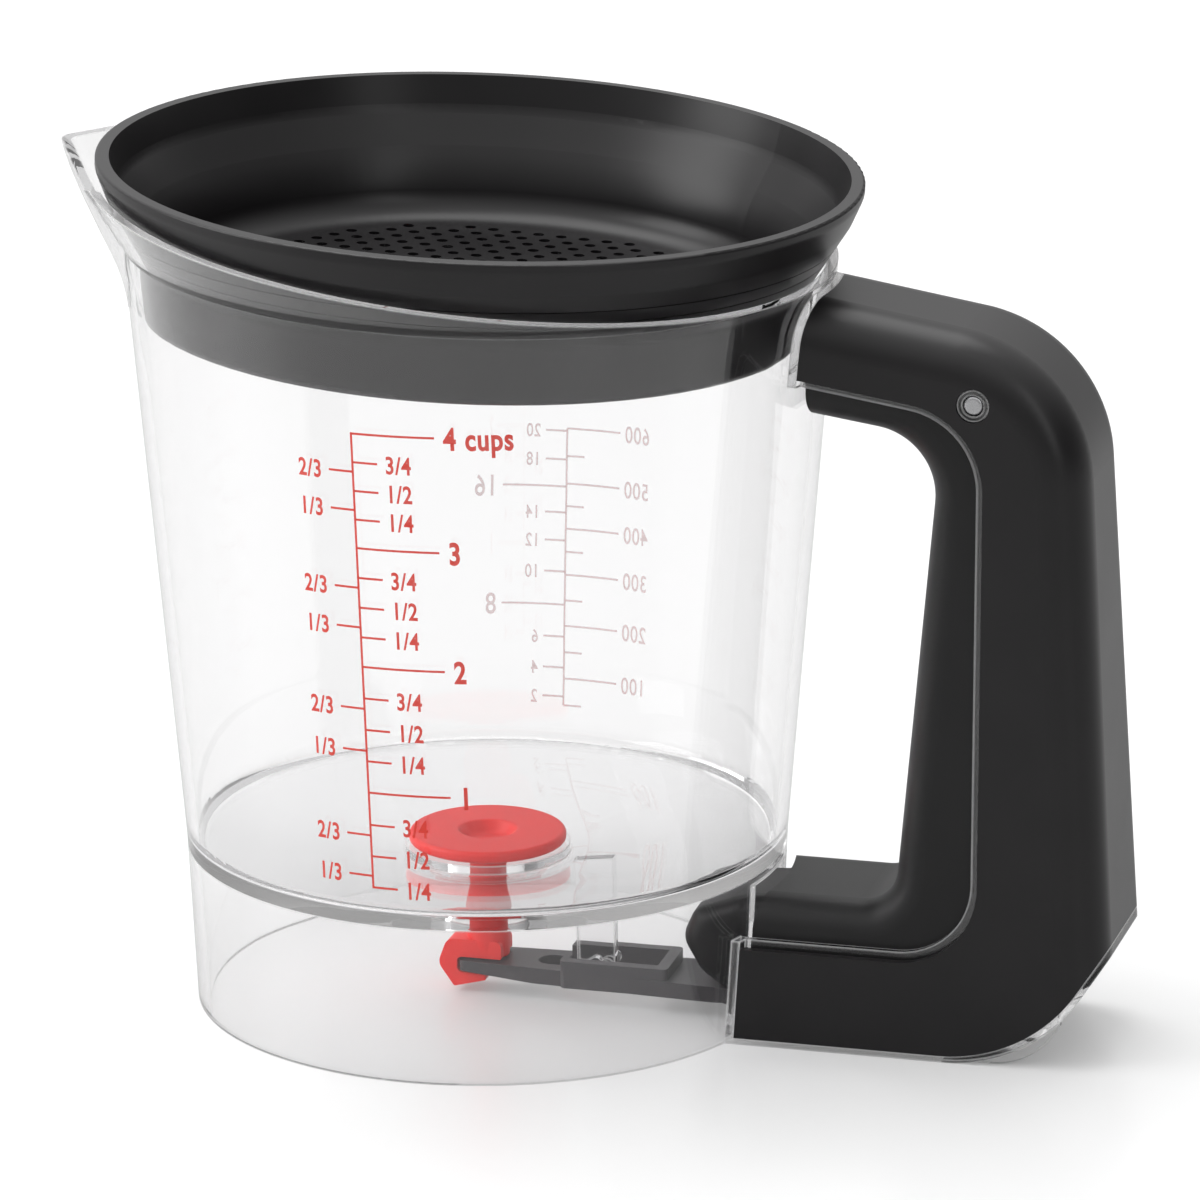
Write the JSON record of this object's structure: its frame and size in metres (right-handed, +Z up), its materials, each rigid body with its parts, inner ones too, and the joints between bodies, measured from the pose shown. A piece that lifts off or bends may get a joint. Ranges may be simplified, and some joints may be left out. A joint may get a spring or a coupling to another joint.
{
  "type": "gravy fat separator",
  "caption": "Clear measuring jug with a lift-out strainer and a squeeze handle whose trigger lifts a stopper in the floor to drain gravy and leave the fat.",
  "frame": {"origin": "on the table plane, at the axis of the jug", "axes": "+Z up along the jug's axis, +X towards the handle, the spout points along -X, the table is z = 0"},
  "size_m": [0.1991, 0.1386, 0.1598],
  "materials": {
    "clear_plastic": "clear, polished",
    "black_plastic": "satin black",
    "trigger_plastic": "satin black",
    "pin_steel": "polished steel",
    "spring_steel": "drawn wire",
    "grey_plastic": "dark grey",
    "red_silicone": "soft red silicone"
  },
  "bodies": {
    "jug": {"jug_body": "clear_plastic", "handle_shell": "black_plastic", "pivot_pin": "pin_steel", "return_spring": "spring_steel"},
    "strainer": {"strainer": "black_plastic"},
    "trigger": {"trigger": "trigger_plastic"},
    "lever": {"lever_bar": "grey_plastic"},
    "stopper": {"stopper": "red_silicone"}
  },
  "joints": [
    {"name": "trigger_pull", "type": "hinge", "parent": "jug", "child": "trigger", "pos_m": [0.0946, 0, 0.122], "axis": [0, -1, 0], "range_deg": [0, 4.5], "stiffness_Nm_per_rad": 0.4, "springref_deg": -11.46, "deforming": ["return_spring"]},
    {"name": "lever_rock", "type": "hinge", "parent": "jug", "child": "lever", "pos_m": [0.023, 0, 0.0066], "axis": [0, 1, 0], "range_deg": [0, 6]},
    {"name": "stopper_lift", "type": "slide", "parent": "jug", "child": "stopper", "axis": [0, 0, 1], "range_m": [0, 0.0026]},
    {"name": "strainer_lift", "type": "slide", "parent": "jug", "child": "strainer", "axis": [0.0471, 0, 0.9989], "range_m": [0, 0.05]}
  ],
  "couplings": [
    {"joint": "lever_rock", "follows": "trigger_pull", "ratio": 1.25},
    {"joint": "stopper_lift", "follows": "trigger_pull", "m_per_rad": 0.0312}
  ]
}
